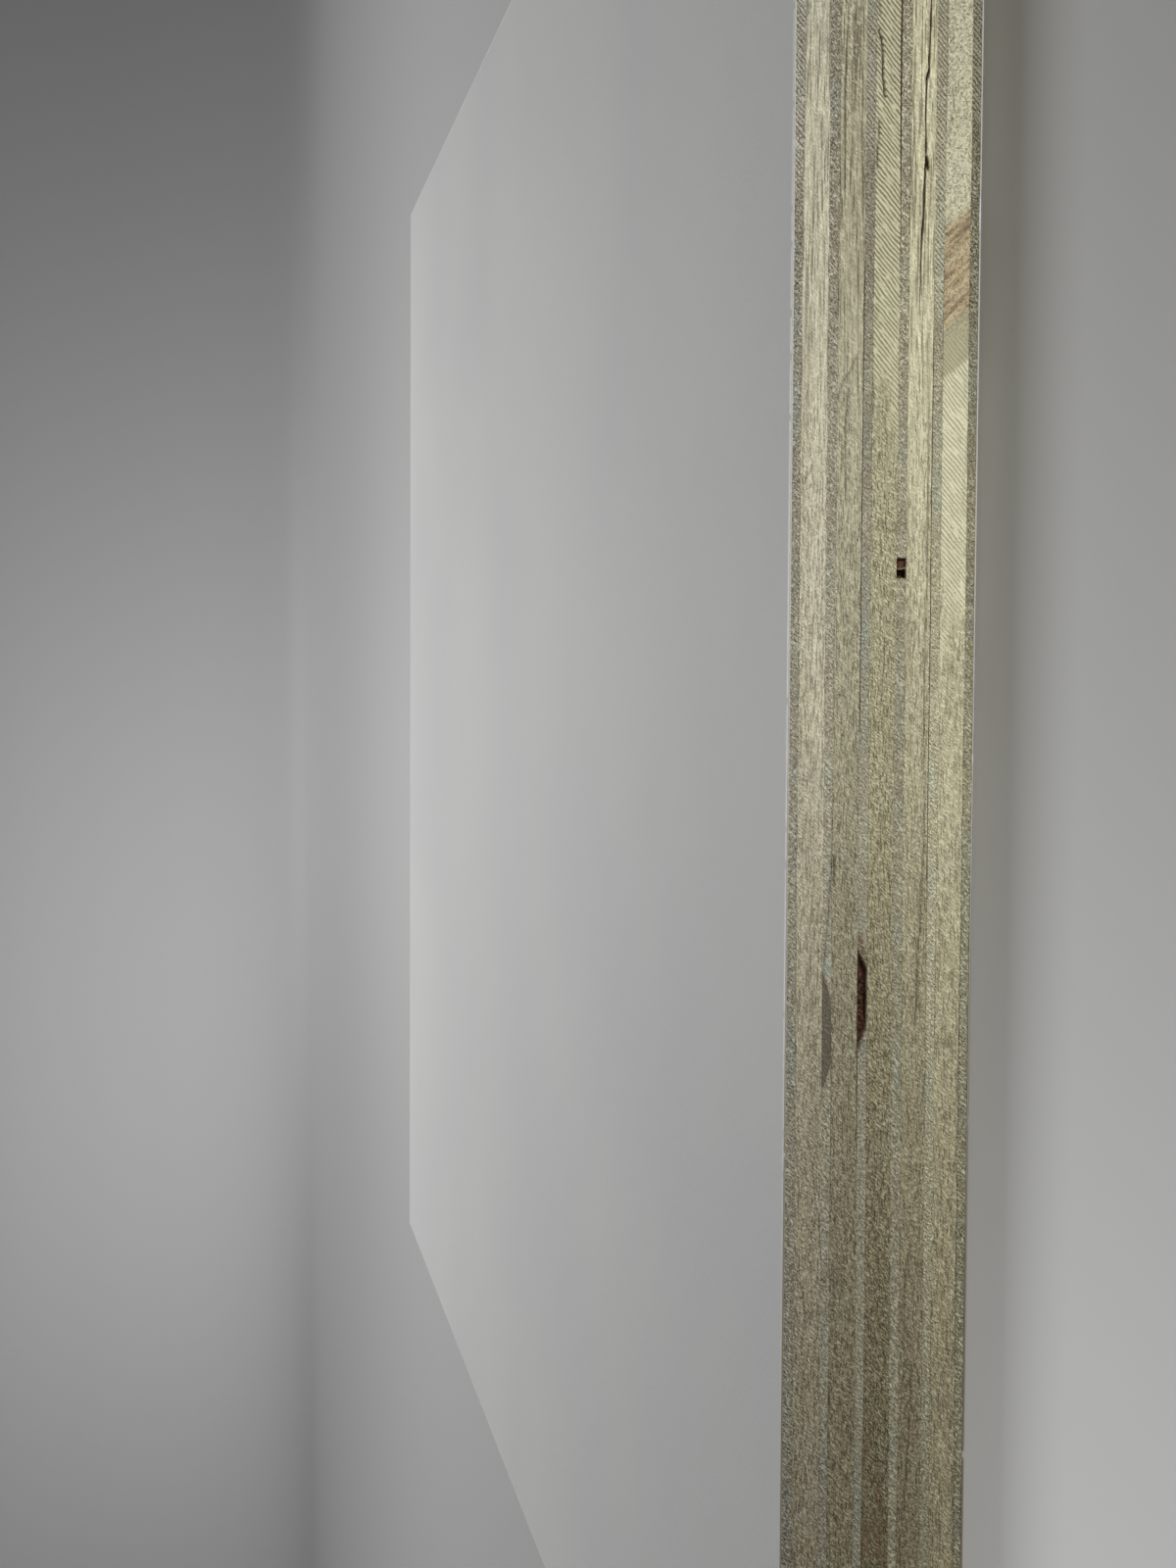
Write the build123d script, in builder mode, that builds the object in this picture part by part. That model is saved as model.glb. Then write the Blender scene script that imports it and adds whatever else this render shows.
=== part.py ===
from build123d import *
import os

# White-faced plywood panel, sawn square: eleven cross-laid veneers between two thin white films.
# X runs along the front edge, Y from the front edge to the back edge, and Z up through the thickness.
# The origin is the middle of the bottom face. Lengths are in millimetres.

# Panel outline
panel_width = 260.0
panel_depth = 360.0

# Layer thicknesses. Crossbands have their grain along X, and all other veneers along Y
film_thickness = 0.15
face_veneer_thickness = 0.85
crossband_thickness = 2.5
core_veneer_thickness = 0.95
crossband_count = 5

# Knot hole that the saw cut open in the second core veneer. It widens upwards through the veneer
knot_hole_ply = "core_veneer_2"
knot_hole_x = -18.0
knot_hole_width = 6.0
knot_hole_depth = 4.5
knot_hole_flare = 1.4

# Core gap in the third core veneer, which runs back from the front edge along the grain
core_gap_ply = "core_veneer_3"
core_gap_x = 22.95
core_gap_width = 1.9
core_gap_run = 14.0

# Split in the fourth crossband, open at the front edge. Its course is points of X and of the
# height up the veneer, as a share of the veneer's thickness
split_ply = "crossband_4"
split_depth = 1.6
split_width = 0.2
split_course = [(45.5, 0.6), (53.0, 0.56), (60.5, 0.44), (68.5, 0.42), (73.0, 0.3), (84.0, 0.26)]

# Starved glue line under the third crossband, a hairline gap along its bottom face
starved_joint_ply = "crossband_3"
starved_joint_start = 56.0
starved_joint_end = 88.0
starved_joint_height = 0.14
starved_joint_depth = 1.0


def lay_up():
    """The layers from the bottom face up, each as (name, thickness)."""
    layers = [("film_back", film_thickness), ("back_veneer", face_veneer_thickness)]
    for number in range(crossband_count, 0, -1):
        layers.append((f"crossband_{number}", crossband_thickness))
        if number > 1:
            layers.append((f"core_veneer_{number - 1}", core_veneer_thickness))
    layers += [("face_veneer", face_veneer_thickness), ("film_face", film_thickness)]
    return layers


# The sawn front edge, seen from in front: its sketches have X to the right and Z up
front_edge = Plane.XZ.offset(panel_depth / 2)


def knot_hole(bottom, thickness):
    """A flared oval hole through a veneer, centred on the front edge so that half of it is open."""
    with BuildPart() as cutter:
        with BuildSketch(Plane.XY.offset(bottom)):
            with Locations((knot_hole_x, -panel_depth / 2)):
                Ellipse(knot_hole_width / 2, knot_hole_depth)
        with BuildSketch(Plane.XY.offset(bottom + thickness)):
            with Locations((knot_hole_x, -panel_depth / 2)):
                Ellipse(knot_hole_width / 2 + knot_hole_flare, knot_hole_depth + knot_hole_flare)
        loft()
    return cutter.part


def core_gap(bottom, thickness):
    """A round-ended slot through a veneer, open at the front edge."""
    with BuildPart() as cutter:
        with BuildSketch(Plane.XY.offset(bottom)):
            with Locations((core_gap_x, -panel_depth / 2)):
                SlotOverall(2 * core_gap_run, core_gap_width, rotation=90)
        extrude(amount=thickness)
    return cutter.part


def edge_split(bottom, thickness):
    """A wandering crack in the front edge that closes to a point at both ends."""
    course = [(x, bottom + share * thickness) for x, share in split_course]
    inner = course[1:-1]
    upper = [course[0]] + [(x, z + split_width / 2) for x, z in inner] + [course[-1]]
    lower = [course[0]] + [(x, z - split_width / 2) for x, z in inner] + [course[-1]]
    with BuildPart() as cutter:
        with BuildSketch(front_edge):
            with BuildLine():
                Spline(*upper)
                Spline(*lower)
            make_face()
        extrude(amount=-split_depth)
    return cutter.part


def starved_joint(bottom, thickness):
    """A flat arched gap under a veneer, along the glue line at its bottom face."""
    middle = (starved_joint_start + starved_joint_end) / 2
    with BuildPart() as cutter:
        with BuildSketch(front_edge):
            with BuildLine():
                foot = Line((starved_joint_start, bottom), (starved_joint_end, bottom))
                ThreePointArc(foot @ 0, (middle, bottom + starved_joint_height), foot @ 1)
            make_face()
        extrude(amount=-starved_joint_depth)
    return cutter.part


defects = {
    knot_hole_ply: knot_hole,
    core_gap_ply: core_gap,
    split_ply: edge_split,
    starved_joint_ply: starved_joint,
}

os.makedirs("parts", exist_ok=True)

level = 0.0
for name, thickness in lay_up():
    void = defects[name](level, thickness) if name in defects else None
    with BuildPart() as layer:
        with BuildSketch(Plane.XY.offset(level)):
            Rectangle(panel_width, panel_depth)
        extrude(amount=thickness)
        if void:
            add(void, mode=Mode.SUBTRACT)
    layer.part.label = name
    export_step(layer.part, f"parts/{name}.step")
    level += thickness
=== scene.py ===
import math
from collections import namedtuple

import bpy
import numpy as np
from mathutils import Matrix, Vector
from mathutils.geometry import delaunay_2d_cdt


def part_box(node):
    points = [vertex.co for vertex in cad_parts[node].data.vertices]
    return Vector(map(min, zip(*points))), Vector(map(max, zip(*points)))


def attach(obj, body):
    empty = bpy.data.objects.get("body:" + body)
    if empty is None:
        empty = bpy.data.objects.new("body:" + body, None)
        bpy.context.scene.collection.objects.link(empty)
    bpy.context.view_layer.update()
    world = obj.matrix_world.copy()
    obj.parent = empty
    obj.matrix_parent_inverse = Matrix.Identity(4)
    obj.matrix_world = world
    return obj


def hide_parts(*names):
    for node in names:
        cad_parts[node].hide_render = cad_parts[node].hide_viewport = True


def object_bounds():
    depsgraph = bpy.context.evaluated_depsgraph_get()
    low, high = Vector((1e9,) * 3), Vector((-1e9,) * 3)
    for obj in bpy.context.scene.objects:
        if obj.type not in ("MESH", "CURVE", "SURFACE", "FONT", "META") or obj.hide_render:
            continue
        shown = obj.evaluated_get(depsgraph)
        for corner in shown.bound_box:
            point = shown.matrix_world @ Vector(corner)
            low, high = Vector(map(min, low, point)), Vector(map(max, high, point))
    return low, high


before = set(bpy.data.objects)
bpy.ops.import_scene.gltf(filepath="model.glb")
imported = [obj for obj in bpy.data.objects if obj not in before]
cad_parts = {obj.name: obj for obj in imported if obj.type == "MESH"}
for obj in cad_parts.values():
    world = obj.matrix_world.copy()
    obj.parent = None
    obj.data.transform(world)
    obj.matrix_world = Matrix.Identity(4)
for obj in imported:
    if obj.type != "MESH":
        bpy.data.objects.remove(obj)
cad_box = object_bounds()

# Shapes are worked out in millimetres, and become metres as their meshes are made
MM = 0.001
HALF_WIDTH = cad_box[1][0] / MM
HALF_DEPTH = cad_box[1][1] / MM

# The layers from the bottom up, and the heights of the faces between them
LAYERS = sorted(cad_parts, key=lambda name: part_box(name)[0][2])
LEVELS = [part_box(name)[0][2] / MM for name in LAYERS] + [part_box(LAYERS[-1])[1][2] / MM]
FILMS = ("film_back", "film_face")

# The photograph shows the front edge from X = -SEEN_HALF_RUN to SEEN_HALF_RUN
SEEN_HALF_RUN = 78.0
CORNER_RADIUS = 0.3
CORNER_STEPS = 4

# How far apart the points are along the front edge where it is seen, at its core gap and at its two ends,
# and along the other edges
SEEN_STEP = 0.125
GAP_STEP = 0.05
END_STEP = 0.35
REST_STEP = 0.6
# How far apart the rows of points are up the front edge and the others, and the lip along each layer's faces
FRONT_ROW_STEP = 0.15
REST_ROW_STEP = 0.4
LIP = 0.05

# The front edge's shapes and colours reach this far in, and the colours of the panel's two ends this far
FRONT_MARGIN = 10.0
END_MARGIN = 0.6

# Saw marks on the edges lean over by this angle, rising to the right, and are this far apart
HATCH_LEAN = math.radians(41)
SAW_PITCH = 0.345

# How deep the saw cut below the outline, how much its hatching, the long fibres, the torn fibres and the
# grains of the end grain stand out from that, and how much deeper all end grain lies
SAW_DEPTH = 0.05
HATCH_DEPTH = 0.02
FIBRE_DEPTH = 0.014
TORN_DEPTH = 0.04
GRAIN_DEPTH = 0.012
END_GRAIN_DEPTH = 0.025

# Films: depth of the rim and of its nicks, and its bevel at the outer face
RIM_DEPTH = 0.012
NICK_DEPTH = 0.06
RIM_BEVEL = 0.03

# The faces between the layers wave: height and length of the long waves and of the short ones
LONG_WAVE, LONG_WAVE_LENGTH = 0.06, 38
SHORT_WAVE, SHORT_WAVE_LENGTH = 0.025, 9
# How far each layer's top face sags at the left of the front edge. The sag grows between these X and Y
SAG_X = (15, -62)
SAG_Y = (-100, -170)
LEFT_SAG = {
    "crossband_5": 0.02, "core_veneer_4": 0.1, "crossband_4": 0.25, "core_veneer_3": 0.35,
    "crossband_3": 0.2, "core_veneer_2": 0.3, "crossband_2": 0.15, "core_veneer_1": 0.3,
    "crossband_1": 0.05,
}
# A starved glue line opens a gap under the third crossband
STARVED_RUN = (56.0, 88.0)
STARVED_GAP = 0.1

# Knot hole in the second core veneer: half widths at its bottom and top
KNOT_X = -17.8
KNOT_HALF_WIDTHS = (2.6, 4.7)
BARK_DEPTH = 1.1

# Core gap in the third core veneer. A shelf of debris fills its right part, and a splinter stands between
GAP_X = (22.0, 23.9)
GAP_MARGIN = 0.3
GAP_DEPTH = 1.3
GAP_SHELF_DEPTH = 0.5
SPLINTER_X = 22.9
SPLINTER_WIDTH = 0.13
SPLINTER_DEPTH = 0.25

# Split in the fourth crossband: X and height along its course, and the half width at each point
SPLIT_COURSE = [
    (-80.0, 5.75, 0.03), (44.0, 5.95, 0.03), (48.0, 5.9, 0.05), (53.0, 5.85, 0.09), (57.0, 5.6, 0.12),
    (60.2, 5.56, 0.13), (60.8, 5.42, 0.15), (61.4, 5.5, 0.13), (65.0, 5.56, 0.11), (68.4, 5.52, 0.12),
    (69.2, 5.3, 0.14), (75.0, 5.15, 0.1), (84.0, 5.0, 0.04), (130.0, 5.0, 0.03),
]
SPLIT_START, SPLIT_START_TAPER = 45.5, 9
SPLIT_END, SPLIT_END_TAPER = 84.0, 8
SPLIT_DEPTH = 1.5
# Its upper lip curls out this far, over this height
CURL = 0.05
CURL_HEIGHT = 0.2
LEAST_DEPTH = 0.002

# Hairline cracks on each layer's front edge: depth, and a course of X and height
HAIRLINE_WIDTH = 0.085
HAIRLINES = {
    "core_veneer_1": [(0.06, [(-15.5, 14.62), (-11.0, 14.25), (-4.5, 13.86)])],
    "crossband_2": [
        (0.12, [(-7.2, 13.72), (-5.6, 13.66), (-4.2, 13.7)]),
        (0.05, [(38.6, 13.8), (40.3, 13.3), (41.2, 12.6), (42.4, 12.1)]),
        (0.05, [(58.0, 13.3), (66.0, 13.5), (75.0, 13.1), (90.0, 12.9)]),
        (0.04, [(60.0, 12.6), (68.0, 12.7), (80.0, 12.3)]),
        (0.05, [(30.0, 12.9), (36.0, 13.0), (39.5, 12.8)]),
    ],
    "crossband_3": [
        (0.12, [(60.0, 10.15), (61.6, 10.2), (63.0, 10.1), (64.5, 10.0)]),
        (0.25, [(66.6, 9.55), (68.6, 9.75), (71.5, 9.85), (72.7, 10.2)]),
        (0.1, [(74.0, 10.1), (77.0, 10.2)]),
    ],
    "crossband_4": [
        (0.4, [(61.3, 5.4), (60.6, 5.26), (60.1, 5.22)]),
        (0.1, [(-20.5, 5.5), (-17.0, 5.3), (-14.0, 5.35), (-11.0, 5.05), (-6.0, 5.0)]),
        (0.06, [(-8.0, 4.92), (0.0, 4.85), (8.0, 4.95), (16.0, 5.0), (22.0, 4.8), (45.0, 4.95)]),
        (0.08, [(-72.0, 6.45), (-64.0, 5.8), (-56.0, 5.45), (-53.0, 5.4)]),
        (0.06, [(-57.0, 6.3), (-52.0, 6.1), (-44.0, 6.15)]),
    ],
    "crossband_5": [(0.05, [(63.2, 3.25), (65.0, 2.95), (66.6, 2.85), (68.0, 3.0)])],
}
# Glue lines that gape on the front edge: the layer above, depth, and the run from end to end
OPEN_JOINTS = [
    ("back_veneer", 0.04, -100.0, -5.0),
    ("crossband_5", 0.05, -100.0, 10.0),
    ("crossband_2", 0.1, -34.0, -12.0),
    ("crossband_2", 0.25, 6.0, 52.0),
    ("crossband_4", 0.2, -10.0, 46.0),
    ("crossband_3", 0.15, 50.0, 88.0),
]


def is_crosswise(name):
    """Whether a layer's grain runs along X, so that the front edge shows its long grain."""
    return name.startswith("crossband")


def ease(value, start, end):
    """Rises smoothly from 0 at start to 1 at end, in either direction."""
    share = np.clip((value - start) / (end - start), 0, 1)
    return share * share * (3 - 2 * share)


def noise(x, y, seed):
    """Smooth noise from -1 to 1 over a plane, with features about 1 across. Each seed gives its own."""
    cell_x, cell_y = np.floor(x), np.floor(y)
    blend_x, blend_y = ease(x - cell_x, 0, 1), ease(y - cell_y, 0, 1)

    def corner(step_x, step_y):
        mixed = (cell_x + step_x).astype(np.int64) * 374761393
        mixed += (cell_y + step_y).astype(np.int64) * 668265263 + seed * 1442695041
        mixed = (mixed & 0xFFFFFFFF) * 1274126177 & 0xFFFFFFFF
        mixed = (mixed ^ (mixed >> 15)) * 2246822519 & 0xFFFFFFFF
        return (mixed >> 16) / 32767.5 - 1

    low = corner(0, 0) * (1 - blend_x) + corner(1, 0) * blend_x
    high = corner(0, 1) * (1 - blend_x) + corner(1, 1) * blend_x
    return low * (1 - blend_y) + high * blend_y


def noise_along(x, seed):
    """Smooth noise from -1 to 1 along a line."""
    return noise(x, np.zeros(np.shape(x)), seed)


def line_distance(x, z, points):
    """Distance from each place on an edge to a line through points."""
    nearest = np.full(np.shape(x), np.inf)
    for (x0, z0), (x1, z1) in zip(points, points[1:]):
        length_2 = (x1 - x0) ** 2 + (z1 - z0) ** 2
        share = np.clip(((x - x0) * (x1 - x0) + (z - z0) * (z1 - z0)) / length_2, 0, 1)
        nearest = np.minimum(nearest, np.hypot(x - x0 - share * (x1 - x0), z - z0 - share * (z1 - z0)))
    return nearest


# Outline of the panel, as a table of stations. Its columns are the place, the way inwards, the run along the
# outline and the side: 0 for the front, then anticlockwise, and half way between two sides in a corner

X, Y, INWARD_X, INWARD_Y, RUN, SIDE = range(6)


def steps_between(start, end, step):
    """Even steps from start up to, but not at, end."""
    return np.linspace(start, end, max(1, round((end - start) / step)), endpoint=False)


def front_places():
    """X of the stations along the front edge, from the end of one corner to the start of the next."""
    end = HALF_WIDTH - CORNER_RADIUS
    gap_start, gap_end = GAP_X[0] - GAP_MARGIN, GAP_X[1] + GAP_MARGIN
    spans = [
        (-end, -SEEN_HALF_RUN, END_STEP),
        (-SEEN_HALF_RUN, gap_start, SEEN_STEP),
        (gap_start, gap_end, GAP_STEP),
        (gap_end, SEEN_HALF_RUN, SEEN_STEP),
        (SEEN_HALF_RUN, end, END_STEP),
    ]
    return np.concatenate([steps_between(*span) for span in spans] + [[end]])


def make_outline():
    """Stations anticlockwise round the panel, from the left end of the front edge."""
    corners = [(-1, -1), (1, -1), (1, 1), (-1, 1)]
    directions = [(1.0, 0.0), (0.0, 1.0), (-1.0, 0.0), (0.0, -1.0)]
    stations = []
    run = CORNER_RADIUS - HALF_WIDTH
    for side, (corner, direction) in enumerate(zip(corners, directions)):
        direction = np.array(direction)
        inward = np.array([-direction[1], direction[0]])
        start = np.array(corner) * (HALF_WIDTH, HALF_DEPTH)
        length = 2 * (HALF_WIDTH if side % 2 == 0 else HALF_DEPTH) - 2 * CORNER_RADIUS
        if side == 0:
            places = front_places() + HALF_WIDTH - CORNER_RADIUS
        else:
            places = np.append(steps_between(0, length, REST_STEP), length)
        for place in places:
            point = start + direction * (CORNER_RADIUS + place)
            stations.append([*point, *inward, run + place, side])
        centre = start + direction * (length + CORNER_RADIUS) + inward * CORNER_RADIUS
        for step in range(1, CORNER_STEPS):
            angle = math.pi / 2 * step / CORNER_STEPS
            facing = inward * math.cos(angle) - direction * math.sin(angle)
            arc = CORNER_RADIUS * angle
            stations.append([*(centre - facing * CORNER_RADIUS), *facing, run + length + arc, side + 0.5])
        run += length + CORNER_RADIUS * math.pi / 2
    return np.array(stations)


OUTLINE = make_outline()
FRONT = OUTLINE[OUTLINE[:, SIDE] == 0]
REST = OUTLINE[OUTLINE[:, SIDE] > 0]


# The faces where the layers meet

def face_height(index, x, y):
    """Height of the face under layer number index. The panel's faces and the films are flat."""
    level = LEVELS[index] + np.zeros(np.shape(x))
    if index < 2 or index > len(LAYERS) - 2:
        return level
    sag = LEFT_SAG.get(LAYERS[index - 1], 0) * ease(x, *SAG_X) * ease(y, *SAG_Y)
    long_waves = noise(x / LONG_WAVE_LENGTH, y / LONG_WAVE_LENGTH, index)
    short_waves = noise(x / SHORT_WAVE_LENGTH, y / SHORT_WAVE_LENGTH, index + 20)
    return level - sag + LONG_WAVE * long_waves + SHORT_WAVE * short_waves


def layer_span(index, stations):
    """Bottom and top height of a layer's edge at each station."""
    x, y = stations[:, X], stations[:, Y]
    bottom = face_height(index, x, y)
    top = face_height(index + 1, x, y)
    if LAYERS[index] == "crossband_3":
        middle, half = np.mean(STARVED_RUN), np.ptp(STARVED_RUN) / 2
        arch = np.clip(1 - ((x - middle) / half) ** 2, 0, 1) * (y < FRONT_MARGIN - HALF_DEPTH)
        bottom = bottom + STARVED_GAP * arch
    return bottom, top


# Relief of the sawn edges. Each function gives depths below the outline and darkness from 0 to 1, which is
# painted shade in the cracks, gaps, holes, gaping joints, torn fibres and drawn-back lips. Places are
# divided by the size of a noise's features

def row_heights(index, step):
    """Heights up a layer's edge: a narrow lip at each face, and even rows between the lips."""
    thickness = LEVELS[index + 1] - LEVELS[index]
    lip = min(LIP, thickness / 4)
    rows = max(1, round((thickness - 2 * lip) / step))
    return np.concatenate([[0], np.linspace(lip, thickness - lip, rows + 1), [thickness]])


def on_lips(rows):
    """True, in a column, at the two rows that lie on a layer's faces."""
    return np.minimum(rows, rows[-1] - rows)[:, None] < LIP / 2


def film_rim(index, run, z):
    """The rim of a film, with nicks in it."""
    nicks = ease(noise_along(run / 2.5, 700 + index), 0.75, 1.0)
    depth = RIM_DEPTH + 0.01 * noise(run / 0.8, z / 0.1, 701 + index) + NICK_DEPTH * nicks
    return depth, np.zeros(z.shape)


def sawn_relief(index, run, z, long_grain):
    """Leaning saw marks, with fibres and tears on long grain and grains on end grain."""
    seed = 50 * index
    along = run * math.cos(HATCH_LEAN) + z * math.sin(HATCH_LEAN)
    across = z * math.cos(HATCH_LEAN) - run * math.sin(HATCH_LEAN)
    hatch = noise(along / 2.2, across / 0.7, seed)
    patches = 0.55 + 0.45 * noise(run / 14, z / 2.5, seed + 1)
    fibres = noise(run / 5, z / 0.55, seed + 2)
    grains = noise(run / 0.8, z / 0.6, seed + 3)
    torn = ease(noise(run / 2.2, z / 0.33, seed + 4) + 0.3 * noise(run / 9, z, seed + 5), 0.66, 1.0)
    depth = SAW_DEPTH + HATCH_DEPTH * hatch * patches
    long_relief = FIBRE_DEPTH * fibres + TORN_DEPTH * torn
    depth += np.where(long_grain, long_relief, GRAIN_DEPTH * grains + END_GRAIN_DEPTH)
    # Torn fibres lie deeper, and get a little painted shade
    return depth, np.where(long_grain, 0.15 * torn, 0.0)


def sink_lips(index, run, rows, depth, dark):
    """Draws a layer's lips back along its glue lines, most where there is little glue, and paints shade
    along them.
    """
    lips = on_lips(rows)
    starved = 0.5 + 0.5 * noise_along(run / 7, 300 + index)
    depth = depth + lips * (0.01 + 0.05 * starved ** 2)
    return depth, np.maximum(dark, lips * 0.3 * starved ** 2)


def open_joints(index, x, rows, depth, dark):
    """Glue lines that gape, cut into the lips of the layers above and below them, with painted shade in the
    gape.
    """
    lower_half = (np.arange(len(rows)) < len(rows) / 2)[:, None]
    for above, deep, start, end in OPEN_JOINTS:
        upper = LAYERS.index(above)
        if index not in (upper, upper - 1):
            continue
        taper = min(4.0, (end - start) / 3)
        opening = ease(x, start, start + taper) * ease(x, end, end - taper)
        # The upper layer gapes at its lower lip, and the layer under it at its upper lip
        gape = (on_lips(rows) & (lower_half == (index == upper))) * opening
        depth = depth + deep * gape
        shade = 0.75 + 0.25 * noise_along(x / 1.7, 907)
        dark = np.maximum(dark, gape * (0.3 + 0.8 * deep) * shade)
    return depth, dark


def crack_hairlines(name, x, z, depth, dark):
    """The hairline cracks of one layer, with painted shade in them."""
    for deep, course in HAIRLINES.get(name, []):
        crack = np.exp(-((line_distance(x, z, course) / HAIRLINE_WIDTH) ** 2))
        depth = depth + deep * crack
        dark = np.maximum(dark, crack * (0.35 + 4 * deep))
    return depth, dark


def split_line(x):
    """Height of the split's middle and its half width, along the front edge."""
    course = np.array(SPLIT_COURSE)
    centre = np.interp(x, course[:, 0], course[:, 1]) + 0.035 * noise_along(x / 1.3, 905)
    half = np.interp(x, course[:, 0], course[:, 2]) * (1 + 0.35 * noise_along(x / 0.8, 906))
    return centre, half


def follow_split(z, x):
    """Bends a layer's rows so that three of them run along the split's lips and bed."""
    centre, half = split_line(x)
    middle = int(np.argmin(np.abs(z[:, len(x) // 2] - SPLIT_COURSE[1][1])))
    bent = z.copy()
    below = (z[:middle] - z[0]) / (z[middle - 1] - z[0])
    bent[:middle] = z[0] + below * (centre - half - z[0])
    bent[middle] = centre
    above = (z[middle + 1:] - z[middle + 1]) / (z[-1] - z[middle + 1])
    bent[middle + 1:] = centre + half + above * (z[-1] - centre - half)
    return bent


def cut_split(x, z, depth, dark):
    """The long split in the fourth crossband, with its upper lip curled out and painted shade inside."""
    centre, half = split_line(x)
    gape = ease(x, SPLIT_START, SPLIT_START + SPLIT_START_TAPER)
    gape = gape * ease(x, SPLIT_END, SPLIT_END - SPLIT_END_TAPER)
    inside = np.clip(1 - np.abs(z - centre) / half, 0, 1) * gape
    above = np.clip(z - centre - half, 0, None)
    lip = np.where(z > centre + half * 0.9, np.exp(-above / CURL_HEIGHT), 0) * gape
    depth = np.maximum(depth - CURL * lip, LEAST_DEPTH) + SPLIT_DEPTH * inside
    return depth, np.maximum(dark, np.minimum(1, 1.6 * inside))


def cut_knot_hole(x, z, bottom, top, depth, dark):
    """An oval hole that widens upwards, with loose bark in it, and painted shade in the hole."""
    share = np.clip((z - bottom) / (top - bottom), 0, 1)
    half = KNOT_HALF_WIDTHS[0] + (KNOT_HALF_WIDTHS[1] - KNOT_HALF_WIDTHS[0]) * share
    profile = np.clip(1 - ((x - KNOT_X) / half) ** 2, 0, 1) ** 0.3
    bark = 1 + 0.25 * noise(x / 0.5, z / 0.35, 901) + 0.15 * noise(x / 0.2, z / 0.2, 902)
    return depth + BARK_DEPTH * profile * bark, np.maximum(dark, np.minimum(1, 3 * profile))


def cut_core_gap(x, z, depth, dark):
    """A gap between two strips of veneer, with a shelf of debris and a splinter standing in it. Painted
    shade fills the gap, less on the shelf and none on the splinter.
    """
    inside = ease(x, GAP_X[0], GAP_X[0] + 0.1) * ease(x, GAP_X[1], GAP_X[1] - 0.1)
    shelf = ease(x, SPLINTER_X + 0.02, SPLINTER_X + 0.12)
    splinter = np.exp(-((x - SPLINTER_X - 0.06 * noise(z * 2, z, 903)) / SPLINTER_WIDTH) ** 2)
    bed = GAP_DEPTH * (1 - shelf) + GAP_SHELF_DEPTH * shelf
    cut = inside * np.where(splinter > 0.4, SPLINTER_DEPTH, bed)
    return depth + cut, np.maximum(dark, inside * (1 - splinter) * (1 - 0.5 * shelf))


def edge_surface(index, stations, rows):
    """Heights, depths below the outline and painted recess shade of a layer's edge, by row and station."""
    name = LAYERS[index]
    bottom, top = layer_span(index, stations)
    z = bottom + rows[:, None] / (LEVELS[index + 1] - LEVELS[index]) * (top - bottom)
    on_front = (stations[:, SIDE] == 0).all()
    if on_front and name == "crossband_4":
        z = follow_split(z, stations[:, X])
    x, run, side = (np.broadcast_to(stations[:, column], z.shape) for column in (X, RUN, SIDE))
    if name in FILMS:
        return z, *film_rim(index, run, z)
    long_grain = (np.round(side) % 2 == 0) == is_crosswise(name)
    depth, dark = sawn_relief(index, run, z, long_grain)
    depth, dark = sink_lips(index, run, rows, depth, dark)
    if on_front:
        depth, dark = open_joints(index, x, rows, depth, dark)
        depth, dark = crack_hairlines(name, x, z, depth, dark)
        if name == "crossband_4":
            depth, dark = cut_split(x, z, depth, dark)
        if name == "core_veneer_2":
            depth, dark = cut_knot_hole(x, z, bottom, top, depth, dark)
        if name == "core_veneer_3":
            depth, dark = cut_core_gap(x, z, depth, dark)
    return z, depth, dark


# Layout of the baked texture, in pixels. A layer's faces lie in a band at the bottom. The front edge and
# the other edges, which get half its density, are cut into rows and stacked above that

ATLAS = 1024
ATLAS_MARGIN = 2
ROW_LENGTH = 1000
DENSITIES = range(60, 2, -1)
# Share of the atlas's height for the band of faces, and how much of the band a face fills. The film's
# inner face is drawn small beside its outer one
FILM_BAND = 0.86
VENEER_BAND = 0.12
SHOWN_FILL = 0.98
INNER_FILL = 0.4
VENEER_FILL = 0.95
UPPER_FACE_OFFSET = 0.3
FACE_MARGIN = 0.003
FACE_GAP = 0.01


def face_band(name):
    """Share of the atlas's height for the faces of a layer."""
    return FILM_BAND if name in FILMS else VENEER_BAND


def edge_density(thickness, room):
    """The finest texture density of the front edge, in pixels a millimetre, that fits the room."""
    for density in DENSITIES:
        rows_front = math.ceil(2 * HALF_WIDTH * density / ROW_LENGTH)
        rest = 2 * HALF_WIDTH + 4 * HALF_DEPTH
        rows_rest = math.ceil(rest * density / 2 / ROW_LENGTH) + 1
        height = rows_front * (thickness * density + 2 * ATLAS_MARGIN)
        height += rows_rest * (thickness * density / 2 + 2 * ATLAS_MARGIN)
        if height < room:
            return density
    return DENSITIES.stop


class EdgeMap:
    """Where the two strips of a layer's edge lie in its texture."""

    def __init__(self, index):
        self.thickness = LEVELS[index + 1] - LEVELS[index]
        self.base = ATLAS * face_band(LAYERS[index])
        self.density = edge_density(self.thickness, ATLAS - self.base)
        self.front_rows = math.ceil(2 * HALF_WIDTH * self.density / ROW_LENGTH)

    def place(self, run, share, start_run, front):
        """Texture place of a face's corners, from their runs and heights. start_run is its first run."""
        density, base, origin = self.density, self.base, -HALF_WIDTH
        if not front:
            base = base + self.front_rows * (self.thickness * density + 2 * ATLAS_MARGIN)
            density, origin = density / 2, HALF_WIDTH - 1
        row = np.floor((start_run - origin) * density / ROW_LENGTH)
        u = (run - origin) * density - row * ROW_LENGTH + ATLAS_MARGIN
        v = base + row * (self.thickness * density + 2 * ATLAS_MARGIN) + ATLAS_MARGIN
        return np.stack([u, v + share * self.thickness * density], -1) / ATLAS


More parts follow.
